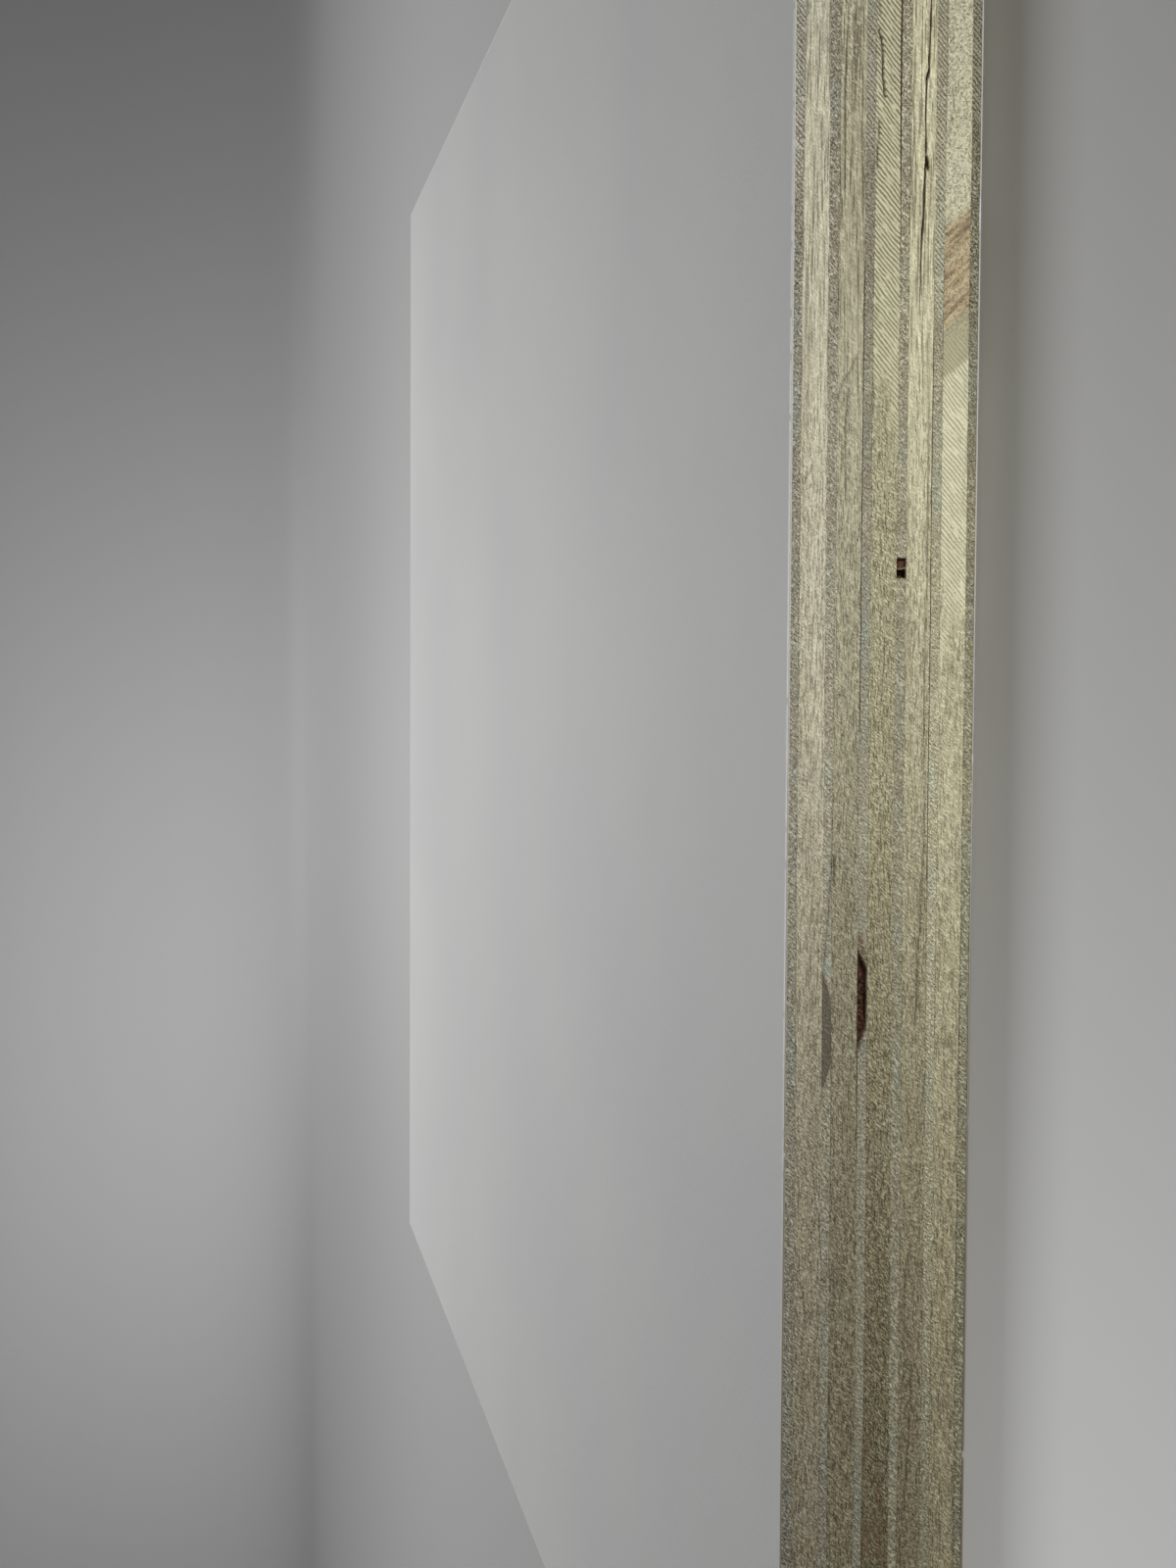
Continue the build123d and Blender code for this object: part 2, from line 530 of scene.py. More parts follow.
def face_uv(name, x, y, top):
    """Texture place of points on a layer's top or bottom face."""
    per_millimetre = face_band(name) / (2 * HALF_DEPTH)
    if name not in FILMS:
        fill, offset = VENEER_FILL, UPPER_FACE_OFFSET if top else 0.0
    elif top == (name == "film_face"):
        fill, offset = SHOWN_FILL, 0.0
    else:
        fill, offset = INNER_FILL, 2 * HALF_WIDTH * SHOWN_FILL * per_millimetre + FACE_GAP
    u = offset + FACE_MARGIN + (x + HALF_WIDTH) * fill * per_millimetre
    v = FACE_MARGIN + (y + HALF_DEPTH) * fill * per_millimetre
    return np.stack([u, v], -1)


# Meshes of the layers

# Insets of the rings of points on a layer's faces. The last is also the spacing of the grid inside them
FACE_RINGS = {"film_face": (0.8, 2.4, 6.0), "film_back": (1.5, 5.0, 12.0)}
HIDDEN_RINGS = (1.5, 5.0, 15.0, 40.0)
SHARP_ANGLE = math.radians(55)

Strip = namedtuple("Strip", "points dark run numbers")


def edge_strip(index, stations, row_step, first):
    """One strip of a layer's edge, row by row, with its vertices numbered from first."""
    z, depth, dark = edge_surface(index, stations, row_heights(index, row_step))
    if LAYERS[index] == "film_face":
        depth[-1] += RIM_BEVEL
    if LAYERS[index] == "film_back":
        depth[0] += RIM_BEVEL
    x = stations[:, X] + stations[:, INWARD_X] * depth
    y = stations[:, Y] + stations[:, INWARD_Y] * depth
    points = np.stack([x, y, z], -1).reshape(-1, 3)
    run = np.broadcast_to(stations[:, RUN], z.shape).ravel()
    return Strip(points, dark.ravel(), run, first + np.arange(z.size).reshape(z.shape))


def grid_faces(numbers):
    """Quads over a grid of numbered vertices, facing out of the panel."""
    corners = [numbers[:-1, :-1], numbers[:-1, 1:], numbers[1:, 1:], numbers[1:, :-1]]
    return np.stack(corners, -1).reshape(-1, 4)


def zip_columns(left, right, heights):
    """Triangles between two columns of vertices that have different numbers of rows."""
    faces = []
    i = j = 0
    while i < len(left) - 1 or j < len(right) - 1:
        climb_left = j == len(right) - 1 or (
            i < len(left) - 1 and heights[left[i + 1]] <= heights[right[j + 1]]
        )
        if climb_left:
            faces.append((left[i], right[j], left[i + 1]))
            i += 1
        else:
            faces.append((left[i], right[j], right[j + 1]))
            j += 1
    return faces


def seam_runs(runs):
    """Runs of the seam's corners, where those past the outline's end don't start again from its start."""
    wrapped = np.ptp(runs, axis=1) > HALF_WIDTH
    past_end = OUTLINE[-1, RUN] + 0.1
    runs[wrapped] = np.where(runs[wrapped] < 0, past_end, runs[wrapped])
    return runs


def inner_points(rings):
    """Points on ever coarser rings inside the outline, with an open grid in the middle."""
    points = []
    for inset in rings:
        half_x, half_y = HALF_WIDTH - inset, HALF_DEPTH - inset
        for x in np.arange(-half_x, half_x, inset):
            points += [(x, -half_y), (-x, half_y)]
        for y in np.arange(-half_y, half_y, inset):
            points += [(half_x, y), (-half_x, -y)]
    spacing = rings[-1]
    for x in np.arange(-HALF_WIDTH + 2 * spacing, HALF_WIDTH - 1.5 * spacing, spacing):
        for y in np.arange(-HALF_DEPTH + 2 * spacing, HALF_DEPTH - 1.5 * spacing, spacing):
            points.append((x, y))
    return np.array(points)


def face_triangles(rim, inside):
    """Triangles over a rim of points and the points inside it, facing up. They number the rim first."""
    places = [Vector(p) for p in rim] + [Vector(p) for p in inside]
    found = delaunay_2d_cdt(places, [], [list(range(len(rim)))], 1, 1e-6)
    faces, sources = found[2], found[3]
    number = [source[0] for source in sources]
    triangles = np.array([[number[corner] for corner in face] for face in faces])
    flat = np.array([tuple(p) for p in places])
    a, b, c = (flat[triangles[:, k]] for k in range(3))
    turn = (b[:, 0] - a[:, 0]) * (c[:, 1] - a[:, 1]) - (b[:, 1] - a[:, 1]) * (c[:, 0] - a[:, 0])
    triangles[turn < 0] = triangles[turn < 0][:, ::-1]
    return triangles


def layer_piece(name, points, dark, faces, uvs):
    """A mesh piece with a texture map and with its painted recess shade as an attribute."""
    mesh = bpy.data.meshes.new(f"{name}_sawn")
    mesh.from_pydata((points * MM).tolist(), [], [face for group in faces for face in group.tolist()])
    uv_layer = mesh.uv_layers.new(name="OFBake")
    flat_uv = np.concatenate([group.reshape(-1, 2) for group in uvs])
    uv_layer.data.foreach_set("uv", flat_uv.ravel().astype(np.float32))
    attribute = mesh.attributes.new("recess_shade", "FLOAT", "POINT")
    attribute.data.foreach_set("value", np.clip(dark, 0, 1).astype(np.float32))
    mesh.shade_smooth()
    mesh.set_sharp_from_angle(angle=SHARP_ANGLE)
    piece = bpy.data.objects.new(f"{name}_sawn", mesh)
    bpy.context.scene.collection.objects.link(piece)
    return piece


def edge_faces(index, front, rest, points):
    """Quads of the two strips and triangles of their two seams, with the texture places of each."""
    edge_map = EdgeMap(index)
    run = np.concatenate([front.run, rest.run])
    share = (points[:, 2] - LEVELS[index]) / (LEVELS[index + 1] - LEVELS[index])
    faces, uvs = [], []
    for strip in (front, rest):
        quads = grid_faces(strip.numbers)
        faces.append(quads)
        uvs.append(edge_map.place(run[quads], share[quads], run[quads[:, :1]], strip is front))
    seams = zip_columns(front.numbers[:, -1], rest.numbers[:, 0], points[:, 2])
    seams = np.array(seams + zip_columns(rest.numbers[:, -1], front.numbers[:, 0], points[:, 2]))
    runs = seam_runs(run[seams])
    faces.append(seams)
    uvs.append(edge_map.place(runs, share[seams], runs.min(axis=1)[:, None], False))
    return faces, uvs


def make_layer(index):
    """A closed mesh of one layer: a fine front edge, three plainer edges and two faces."""
    name = LAYERS[index]
    front = edge_strip(index, FRONT, FRONT_ROW_STEP, 0)
    rest = edge_strip(index, REST, REST_ROW_STEP, len(front.points))
    points = np.vstack([front.points, rest.points])
    dark = np.concatenate([front.dark, rest.dark])
    faces, uvs = edge_faces(index, front, rest, points)
    inside = inner_points(FACE_RINGS.get(name, HIDDEN_RINGS))
    for row, face_index, top in ((0, index, False), (-1, index + 1, True)):
        rim = np.concatenate([front.numbers[row], rest.numbers[row]])
        triangles = face_triangles(points[rim][:, :2], inside)
        numbers = np.concatenate([rim, len(points) + np.arange(len(inside))])
        height = face_height(face_index, inside[:, 0], inside[:, 1])
        points = np.vstack([points, np.column_stack([inside, height])])
        dark = np.concatenate([dark, np.zeros(len(inside))])
        triangles = numbers[triangles if top else triangles[:, ::-1]]
        faces.append(triangles)
        uvs.append(face_uv(name, points[triangles][..., 0], points[triangles][..., 1], top))
    return layer_piece(name, points, dark, faces, uvs)


# Materials

def colour(red, green, blue):
    """Linear colour, with alpha, of an 8-bit screen colour."""
    parts = [c / 255 for c in (red, green, blue)]
    return tuple(c / 12.92 if c <= 0.04045 else ((c + 0.055) / 1.055) ** 2.4 for c in parts) + (1.0,)


class Nodes:
    """Short ways to build one material's nodes. An input is a number, a colour or another output."""

    def __init__(self, name):
        self.material = bpy.data.materials.new(name)
        self.material.use_nodes = True
        self.tree = self.material.node_tree
        self.shader = self.tree.nodes["Principled BSDF"]

    def feed(self, socket, value):
        if isinstance(value, bpy.types.NodeSocket):
            self.tree.links.new(value, socket)
        else:
            socket.default_value = value

    def node(self, kind, inputs, **settings):
        node = self.tree.nodes.new(f"ShaderNode{kind}")
        for key, value in settings.items():
            setattr(node, key, value)
        for key, value in inputs.items():
            self.feed(node.inputs[key], value)
        return node

    def math(self, operation, *values):
        return self.node("Math", dict(enumerate(values)), operation=operation).outputs[0]

    def plus(self, first, second):
        return self.math("ADD", first, second)

    def minus(self, first, second):
        return self.math("SUBTRACT", first, second)

    def times(self, first, second):
        return self.math("MULTIPLY", first, second)

    def joined(self, x, y, z):
        return self.node("CombineXYZ", {0: x, 1: y, 2: z}).outputs[0]

    def scaled(self, vector, factors):
        """A vector times a number, or times one factor for each axis."""
        if isinstance(factors, float):
            factors = (factors, factors, factors)
        return self.node("VectorMath", {0: vector, 1: factors}, operation="MULTIPLY").outputs[0]

    def line(self, value, low, high, start, end, **settings):
        """Goes evenly from start to end as value goes from low to high."""
        inputs = {0: value, 1: low, 2: high, 3: start, 4: end}
        return self.node("MapRange", inputs, **settings).outputs[0]

    def rise(self, value, low, high, start=0.0, end=1.0):
        """Goes smoothly from start to end as value goes from low to high."""
        return self.line(value, low, high, start, end, interpolation_type="SMOOTHSTEP")

    def band(self, value, start, end, soft):
        """1 between start and end, with soft sides."""
        return self.times(
            self.rise(value, start - soft, start + soft),
            self.rise(value, end - soft, end + soft, 1.0, 0.0),
        )

    def mix(self, share, first, second, blend="MIX"):
        node = self.node("Mix", {0: share, 6: first, 7: second}, data_type="RGBA", blend_type=blend)
        return node.outputs[2]

    def mix_value(self, share, first, second):
        return self.node("Mix", {0: share, 2: first, 3: second}).outputs[0]

    def noise(self, place, factors, detail=2.0, roughness=0.5, warp=0.0):
        """Noise from 0 to 1 over a place times the factors."""
        return self.node("TexNoise", {
            "Vector": self.scaled(place, factors), "Scale": 1.0, "Detail": detail,
            "Roughness": roughness, "Distortion": warp,
        }).outputs["Fac"]

    def bump(self, height, distance, strength=1.0, **under):
        """Normal of a relief, which may have the Normal of another one under it."""
        inputs = {"Height": height, "Distance": distance, "Strength": strength, **under}
        return self.node("Bump", inputs).outputs["Normal"]

    def millimetres(self):
        """Object coordinates in millimetres, whole and as X, Y and Z."""
        place = self.scaled(self.node("TexCoord", {}).outputs["Object"], 1 / MM)
        parts = self.node("SeparateXYZ", {0: place}).outputs
        return place, parts[0], parts[1], parts[2]

    def inset(self, x, y):
        """How far inside the outline a place lies, in millimetres."""
        inset_x = self.minus(HALF_WIDTH, self.math("ABSOLUTE", x))
        inset_y = self.minus(HALF_DEPTH, self.math("ABSOLUTE", y))
        return self.math("MINIMUM", inset_x, inset_y)

    def finish(self, **inputs):
        for key, value in inputs.items():
            self.feed(self.shader.inputs[key.replace("_", " ")], value)
        return self.material


FILM_TONES = (colour(229, 230, 229), colour(232, 232, 230))
FILM_CUT = colour(204, 200, 190)
FILM_CUT_AGED = colour(150, 138, 116)
FILM_SPECK = colour(120, 112, 104)
# The film's cut rim is fresh at the first X and aged at the second
RIM_AGED_X = (30.0, -60.0)


def white_film(name):
    """Semi-matt white film with an orange peel, faint clouds and a few specks, and a duller cut rim."""
    nodes = Nodes(name)
    place, x, y, _ = nodes.millimetres()
    clouds = nodes.noise(place, 0.018, 3.0)
    peel = nodes.noise(place, 2.1, 1.0, 0.4)
    fine_peel = nodes.noise(place, 5.5, 1.0)
    swell = nodes.noise(place, 0.05, 1.0)
    specks = nodes.node("TexVoronoi", {"Vector": nodes.scaled(place, 0.045), "Scale": 1.0})
    speck = nodes.rise(specks.outputs["Distance"], 0.004, 0.011, 0.6, 0.0)
    tone = nodes.mix(nodes.rise(clouds, 0.35, 0.65), FILM_TONES[0], FILM_TONES[1])
    tone = nodes.mix(speck, tone, FILM_SPECK)
    cut = nodes.mix(nodes.rise(x, *RIM_AGED_X), FILM_CUT, FILM_CUT_AGED)
    rim = nodes.rise(nodes.inset(x, y), 0.04, 0.08, 1.0, 0.0)
    tone = nodes.mix(rim, tone, cut)
    peeled = nodes.bump(nodes.plus(peel, nodes.times(fine_peel, 0.25)), 0.00003, 0.9)
    normal = nodes.bump(swell, 0.0004, 0.5, Normal=peeled)
    face_roughness = nodes.line(nodes.plus(clouds, peel), 0.6, 1.4, 0.36, 0.46)
    roughness = nodes.mix_value(rim, face_roughness, 0.75)
    return nodes.finish(Base_Color=tone, Roughness=roughness, Normal=normal)


# Veneer colours. Aged wood is at the left of the front edge, and fresh wood at its right and on the others.
# The change between them is partly ageing and partly painted sheen: towards the left the long grain is
# painted darker and the end grain lighter, where the fibres catch the light differently
FRESH_LONG = colour(240, 235, 203)
FRESH_END = colour(188, 182, 158)
AGED_AND_SHEEN_LONG = colour(222, 208, 170)
AGED_AND_SHEEN_END = colour(226, 220, 192)
PALE = colour(238, 236, 206)
COOL = colour(190, 202, 188)
STREAK = colour(184, 166, 134)
# Painted shade for the saw grooves, also the colour of the dark marks and the dark specks
GROOVE_SHADE_AND_MARKS = colour(92, 80, 60)
# Painted highlight on the ridge tops, also used for the light specks
HIGHLIGHT_WHITE = colour(250, 246, 226)
# Painted shade in cracks, gaps, holes and gaping joints
RECESS_SHADE = colour(62, 50, 38)
BARK = colour(122, 82, 58)
BARK_DARK = colour(64, 42, 33)
RESIN = colour(192, 160, 118)
RESIN_DARK = colour(108, 78, 54)
OLIVE = colour(168, 158, 128)
GREY_STREAK = colour(112, 103, 88)
TAN = colour(132, 100, 64)
RED_BROWN = colour(166, 120, 86)

# How a veneer looks: its lightness at the left, middle and right of what the photograph shows and on the
# hidden edges, how blue it is, how much of it shows saw marks instead of fibres, how strong its marks are,
# and where along the front edge the saw marks become clear grooves and then plain grains. The lightness at
# the left, middle and right is partly the veneer's own and partly painted light: the light falling off
# along the front edge and each layer catching it differently
NEVER = 999.0
Look = namedtuple("Look", "left middle right hidden blue sawn marked grooved_from grainy_from",
                  defaults=(NEVER, NEVER))
LAYER_LOOKS = {
    "back_veneer": Look(0.84, 1.08, 0.61, 0.95, 0.9, 0.95, 1.15, 62.0),
    "crossband_5": Look(0.91, 1.2, 0.93, 1.05, 0.94, 0.7, 0.95, 14.0, 44.0),
    "core_veneer_4": Look(0.8, 1.54, 0.92, 1.0, 0.92, 0.9, 0.9, 48.0),
    "crossband_4": Look(0.65, 1.02, 1.28, 0.92, 0.93, 0.3, 1.0),
    "core_veneer_3": Look(0.83, 1.04, 1.24, 1.06, 0.94, 0.9, 0.95),
    "crossband_3": Look(0.54, 0.94, 0.85, 0.84, 0.88, 0.75, 1.35, 36.0),
    "core_veneer_2": Look(0.76, 1.09, 0.83, 0.96, 0.98, 0.9, 0.85, 66.0),
    "crossband_2": Look(0.66, 0.79, 0.97, 0.95, 0.95, 0.4, 1.1),
    "core_veneer_1": Look(0.71, 1.12, 0.96, 1.0, 0.99, 0.9, 0.85),
    "crossband_1": Look(0.76, 1.1, 1.13, 1.06, 1.02, 0.3, 1.0),
    "face_veneer": Look(0.66, 0.99, 0.9, 0.98, 1.02, 0.95, 1.0, 52.0),
}
# A look's left and right are this far from its middle, its grooves and grains set in this far to either
# side, and hidden end grain is darker by this factor
LOOK_REACH = 70.0
LOOK_BLEND = 3.0
HIDDEN_END_SHADE = 0.9
# Over these X the older wood with its painted sheen shift turns fresh, the grain turns straight, and the
# marks fade from either side
AGE_AND_SHEEN_X = (-75.0, 45.0)
STRAIGHTER_X = (28.0, 48.0)
FAINTER_X = ((-50.0, 5.0), (60.0, 35.0))


class Wood(Nodes):
    """Nodes of one veneer, with the places and masks that its marks and its colours share."""

    def __init__(self, name, index):
        super().__init__(name)
        self.name = name
        self.look = LAYER_LOOKS[name]
        self.crosswise = is_crosswise(name)
        self.seed = 7.3 * index
        self.place, self.x, self.y, self.z = self.millimetres()
        offset = (self.seed, self.seed, self.seed)
        self.moved = self.node("VectorMath", {0: self.place, 1: offset}, operation="ADD").outputs[0]
        at_ends = self.math("GREATER_THAN", self.math("ABSOLUTE", self.x), HALF_WIDTH - END_MARGIN)
        self.end_grain = at_ends if self.crosswise else self.minus(1.0, at_ends)
        self.front = self.math("LESS_THAN", self.y, FRONT_MARGIN - HALF_DEPTH)
        self.straight = self.times(self.rise(self.x, *STRAIGHTER_X), self.front)
        # Older wood at the left of the front edge, whose colours also paint the sheen shifting along it
        self.age_and_sheen = self.times(self.rise(self.x, *AGE_AND_SHEEN_X, 1.0, 0.0), self.front)

    def grained(self, along, across, up):
        """Factors of a noise that run along the grain, across it and up."""
        return (along, across, up) if self.crosswise else (across, along, up)


def saw_hatch(wood):
    """Leaning ridges that the saw raised, 1 on the ridges, and how far they are grooves, not flecks."""
    run = wood.plus(wood.x, wood.y)
    lean_cos, lean_sin = math.cos(HATCH_LEAN), math.sin(HATCH_LEAN)
    along = wood.plus(wood.times(run, lean_cos), wood.times(wood.z, lean_sin))
    across = wood.minus(wood.times(wood.z, lean_cos), wood.times(run, lean_sin))
    place = wood.joined(along, across, wood.seed)
    flecks = wood.rise(wood.noise(place, (2.3, 6.5, 1.0), 1.5, 0.6), 0.3, 0.7)
    sway = wood.noise(place, (0.25, 0.3, 1.0), 2.0, 0.5)
    phase = wood.plus(wood.times(across, 2 * math.pi / SAW_PITCH), wood.times(sway, 14.0))
    grooves = wood.rise(wood.math("SINE", phase), 0.2, -0.8)
    broken = wood.rise(wood.noise(place, (0.8, 2.2, 1.0), 1.0), 0.25, 0.5)
    dark_lines = wood.times(wood.times(grooves, broken), 0.65)
    lines = wood.minus(wood.line(flecks, 0.0, 1.0, 0.8, 1.0), dark_lines)
    patch = wood.noise(wood.joined(run, wood.z, wood.seed), (0.06, 0.3, 1.0), 2.0)
    reach = wood.plus(wood.x, wood.times(wood.minus(patch, 0.5), 50.0))
    start = wood.look.grooved_from
    on_front = wood.rise(reach, start - LOOK_BLEND, start + LOOK_BLEND)
    grooved = wood.mix_value(wood.front, wood.rise(patch, 0.5, 0.6), on_front)
    return wood.mix_value(grooved, flecks, lines), grooved


def long_fibres(wood):
    """Fibres that run along the grain, and dark dashes among them, longer where the wood is straight."""
    fibres = wood.noise(wood.moved, wood.grained(0.6, 6.0, 6.0), 2.0, 0.65, 0.2)
    dashes = wood.noise(wood.moved, wood.grained(0.8, 7.0, 7.0), 1.0, 0.5, 0.3)
    long_dashes = wood.noise(wood.moved, wood.grained(0.16, 6.0, 6.0), 1.0, 0.5, 0.1)
    dashes = wood.mix_value(wood.straight, dashes, long_dashes)
    return wood.rise(fibres, 0.28, 0.7), wood.rise(dashes, 0.55, 0.63)


def wood_marks(wood):
    """Ridges of the sawn wood, 1 on the ridges, and dark marks, 1 on the marks."""
    look = wood.look
    hatch, grooved = saw_hatch(wood)
    fibres, dashes = long_fibres(wood)
    pores = wood.rise(wood.noise(wood.moved, 6.5, 1.0), 0.56, 0.68)
    patch = wood.noise(wood.moved, (0.05, 0.05, 0.3), 2.0)
    sawn = wood.plus(wood.plus(patch, look.sawn - 0.5), wood.times(wood.age_and_sheen, 0.5))
    sawn = wood.line(wood.rise(sawn, 0.38, 0.62), 0.0, 1.0, 0.4, 0.8)
    sawn = wood.math("MAXIMUM", sawn, wood.math("MAXIMUM", grooved, wood.end_grain))
    ridges = wood.mix_value(sawn, fibres, hatch)
    dashes = wood.times(dashes, wood.line(grooved, 0.0, 1.0, 0.8, 0.1))
    marks = wood.mix_value(wood.end_grain, dashes, pores)
    if look.grainy_from < NEVER:
        start = look.grainy_from
        grainy = wood.rise(wood.x, start - LOOK_BLEND, start + LOOK_BLEND)
        grainy = wood.times(grainy, wood.front)
        grains = wood.rise(wood.noise(wood.moved, (4.0, 4.0, 5.0), 2.0, 0.7), 0.15, 0.6)
        ridges = wood.mix_value(grainy, ridges, grains)
        marks = wood.mix_value(grainy, marks, wood.times(pores, 0.6))
    return ridges, marks


def bare_tone(wood):
    """Colour of the wood, fresh, or older at the left of the front edge with a painted sheen shift, with its
    figure and tints.
    """
    figure = wood.noise(wood.moved, wood.grained(0.03, 0.2, 0.5), 2.0)
    tint = wood.noise(wood.moved, (0.14, 0.14, 0.3), 1.0)
    tone = wood.mix(wood.end_grain, FRESH_LONG, FRESH_END)
    # Towards the left, the older colours with their painted sheen shift
    tone = wood.mix(wood.age_and_sheen, tone, wood.mix(wood.end_grain, AGED_AND_SHEEN_LONG, AGED_AND_SHEEN_END))
    cool = wood.times(wood.rise(tint, 0.5, 0.75), wood.line(wood.end_grain, 0.0, 1.0, 0.15, 0.55))
    tone = wood.mix(cool, tone, COOL)
    tone = wood.mix(wood.rise(tint, 0.5, 0.25, 0.0, 0.3), tone, PALE)
    return wood.mix(wood.rise(figure, 0.5, 0.8, 0.0, 0.35), tone, STREAK)


def marks_and_painted_relief_light(wood, tone, ridges, marks):
    """Paints shade into the saw grooves and highlights onto the ridge tops, darkens the dark marks and adds
    fine light and dark specks, least of all in the middle of the front edge.
    """
    marked = wood.look.marked
    faint = wood.times(*(wood.rise(wood.x, *places) for places in FAINTER_X))
    contrast = wood.line(wood.times(faint, wood.front), 0.0, 1.0, 1.4 * marked, 1.05 * marked)
    # Painted shade in the saw grooves, between the ridges
    tone = wood.mix(wood.times(wood.line(ridges, 0.0, 1.0, 0.46, 0.0), contrast), tone, GROOVE_SHADE_AND_MARKS)
    tone = wood.mix(wood.times(marks, wood.times(contrast, 0.5)), tone, GROOVE_SHADE_AND_MARKS)
    # Painted highlights on the ridge tops, a little stronger on the older wood at the left
    ridge_highlights = wood.times(wood.rise(ridges, 0.7, 1.0), wood.line(wood.age_and_sheen, 0.0, 1.0, 0.3, 0.45))
    tone = wood.mix(wood.times(ridge_highlights, contrast), tone, HIGHLIGHT_WHITE)
    # Fine random specks, light ones in the highlight white and dark ones in the groove shade colour
    fuzz = wood.noise(wood.moved, (6.0, 6.0, 8.0), 1.0)
    clean = wood.times(wood.straight, wood.minus(0.6, wood.end_grain))
    fuzzy = wood.times(contrast, wood.minus(1.0, clean))
    tone = wood.mix(wood.times(wood.rise(fuzz, 0.52, 0.75, 0.0, 0.38), fuzzy), tone, HIGHLIGHT_WHITE)
    return wood.mix(wood.times(wood.rise(fuzz, 0.48, 0.25, 0.0, 0.38), fuzzy), tone, GROOVE_SHADE_AND_MARKS)


def lightness_and_painted_light(wood, tone):
    """Brings the tone to the layer's lightness and blueness. On the front edge that lightness is partly
    painted light, falling off along the edge and catching each layer differently.
    """
    look = wood.look
    left_half = wood.line(wood.x, -LOOK_REACH, 0.0, look.left, look.middle)
    right_half = wood.line(wood.x, 0.0, LOOK_REACH, 0.0, look.right - look.middle)
    hidden = wood.line(wood.end_grain, 0.0, 1.0, look.hidden, HIDDEN_END_SHADE * look.hidden)
    # On the front edge: the layer's lightness together with painted light that falls off along the edge
    lightness = wood.mix_value(wood.front, hidden, wood.plus(left_half, right_half))
    cast = wood.joined(lightness, lightness, wood.times(lightness, look.blue))
    return wood.mix(1.0, tone, cast, "MULTIPLY")


def recess_shade_and_bark(wood, tone):
    """Paints shade into cracks, gaps and holes, and puts bark deep inside the holes."""
    recess_shade = wood.node("Attribute", {}, attribute_name="recess_shade").outputs["Fac"]
    # Painted shade where the recess shade attribute is high
    tone = wood.mix(recess_shade, tone, RECESS_SHADE)
    crumbs = wood.noise(wood.place, 3.5, 2.0)
    bark = wood.mix(wood.rise(crumbs, 0.42, 0.58), BARK_DARK, BARK)
    return wood.mix(wood.rise(wood.inset(wood.x, wood.y), 0.25, 0.6), tone, bark)


# Where the stains of the front edge lie. The resin and its olive border lean, and are measured at Z = 0
RESIN_LEAN = 0.85
RESIN_X = (48.8, 58.4)
OLIVE_X = (44.2, 48.8)
TINGE_X = (-54.0, -70.0)
STREAK_X = (-26.3, -15.4)
STREAK_MIDDLE_X = -21.0
STREAK_END_X = (-15.3, -13.9)
# Away from its middle the streak rises from the first height to the second
STREAK_BOW = (2.2, 5.4)
STREAK_BOW_Z = (13.5, 14.45)
# The knot hole's tan tail spreads by this factor of its height above this
TAIL_Z = 10.4
TAIL_SPREAD = 3.2


def resin_stain(wood, tone):
    """Orange-brown stain with dark streaks and an olive border, leaning across the lowest crossband."""
    wobble = wood.noise(wood.place, (0.7, 0.0, 0.7), 3.0)
    lean = wood.plus(wood.x, wood.times(wood.z, RESIN_LEAN))
    edge = wood.plus(lean, wobble)
    streaks = wood.noise(wood.joined(lean, wood.z, 3.0), (1.1, 0.3, 1.0), 4.0, 0.7)
    stain = wood.mix(wood.rise(streaks, 0.48, 0.62, 0.0, 0.9), RESIN, RESIN_DARK)
    depth = wood.rise(streaks, 0.25, 0.6, 0.35, 0.75)
    tone = wood.mix(wood.times(wood.band(edge, *OLIVE_X, 0.35), 0.6), tone, OLIVE)
    return wood.mix(wood.times(wood.band(edge, *RESIN_X, 0.6), depth), tone, stain)


def gap_tint(wood, tone):
    """Tan colour of the splinter in the core gap."""
    return wood.mix(wood.times(wood.band(wood.x, *GAP_X, 0.1), 0.8), tone, TAN)


def red_tinge(wood, tone):
    """Reddish patches at the left of the third crossband."""
    patches = wood.noise(wood.place, (0.25, 0.25, 0.8), 3.0, 0.6)
    reach = wood.rise(wood.x, *TINGE_X, 0.0, 0.5)
    return wood.mix(wood.times(reach, wood.rise(patches, 0.4, 0.65)), tone, RED_BROWN)


def grey_streak(wood, tone):
    """Grey-brown streak in the first core veneer, with a bowed lower side and a pale end."""
    away = wood.math("ABSOLUTE", wood.minus(wood.x, STREAK_MIDDLE_X))
    lower_side = wood.line(away, *STREAK_BOW, *STREAK_BOW_Z)
    above = wood.rise(wood.minus(wood.z, lower_side), -0.05, 0.12)
    dark = wood.times(wood.band(wood.x, *STREAK_X, 0.25), above)
    pale = wood.band(wood.x, *STREAK_END_X, 0.4)
    tone = wood.mix(wood.times(dark, 0.85), tone, GREY_STREAK)
    return wood.mix(wood.times(pale, 0.5), tone, COOL)


def tan_tail(wood, tone):
    """Tan colour round the knot hole, which tapers off along the top of the veneer."""
    away = wood.math("ABSOLUTE", wood.minus(wood.x, KNOT_X + 0.6))
    reach = wood.minus(away, wood.times(wood.minus(wood.z, TAIL_Z), TAIL_SPREAD))
    return wood.mix(wood.rise(reach, 3.0, 4.6, 0.85, 0.0), tone, TAN)


# Stains in the wood, which the saw marks cross, and stains that lie over the marks
DEEP_STAINS = {"core_veneer_2": tan_tail, "core_veneer_3": gap_tint}
SURFACE_STAINS = {"crossband_5": resin_stain, "crossband_3": red_tinge, "core_veneer_1": grey_streak}


def stained(wood, tone, stains):
    """The tone with the layer's stain on its front edge, if it has one."""
    if wood.name not in stains:
        return tone
    return wood.mix(wood.front, tone, stains[wood.name](wood, tone))


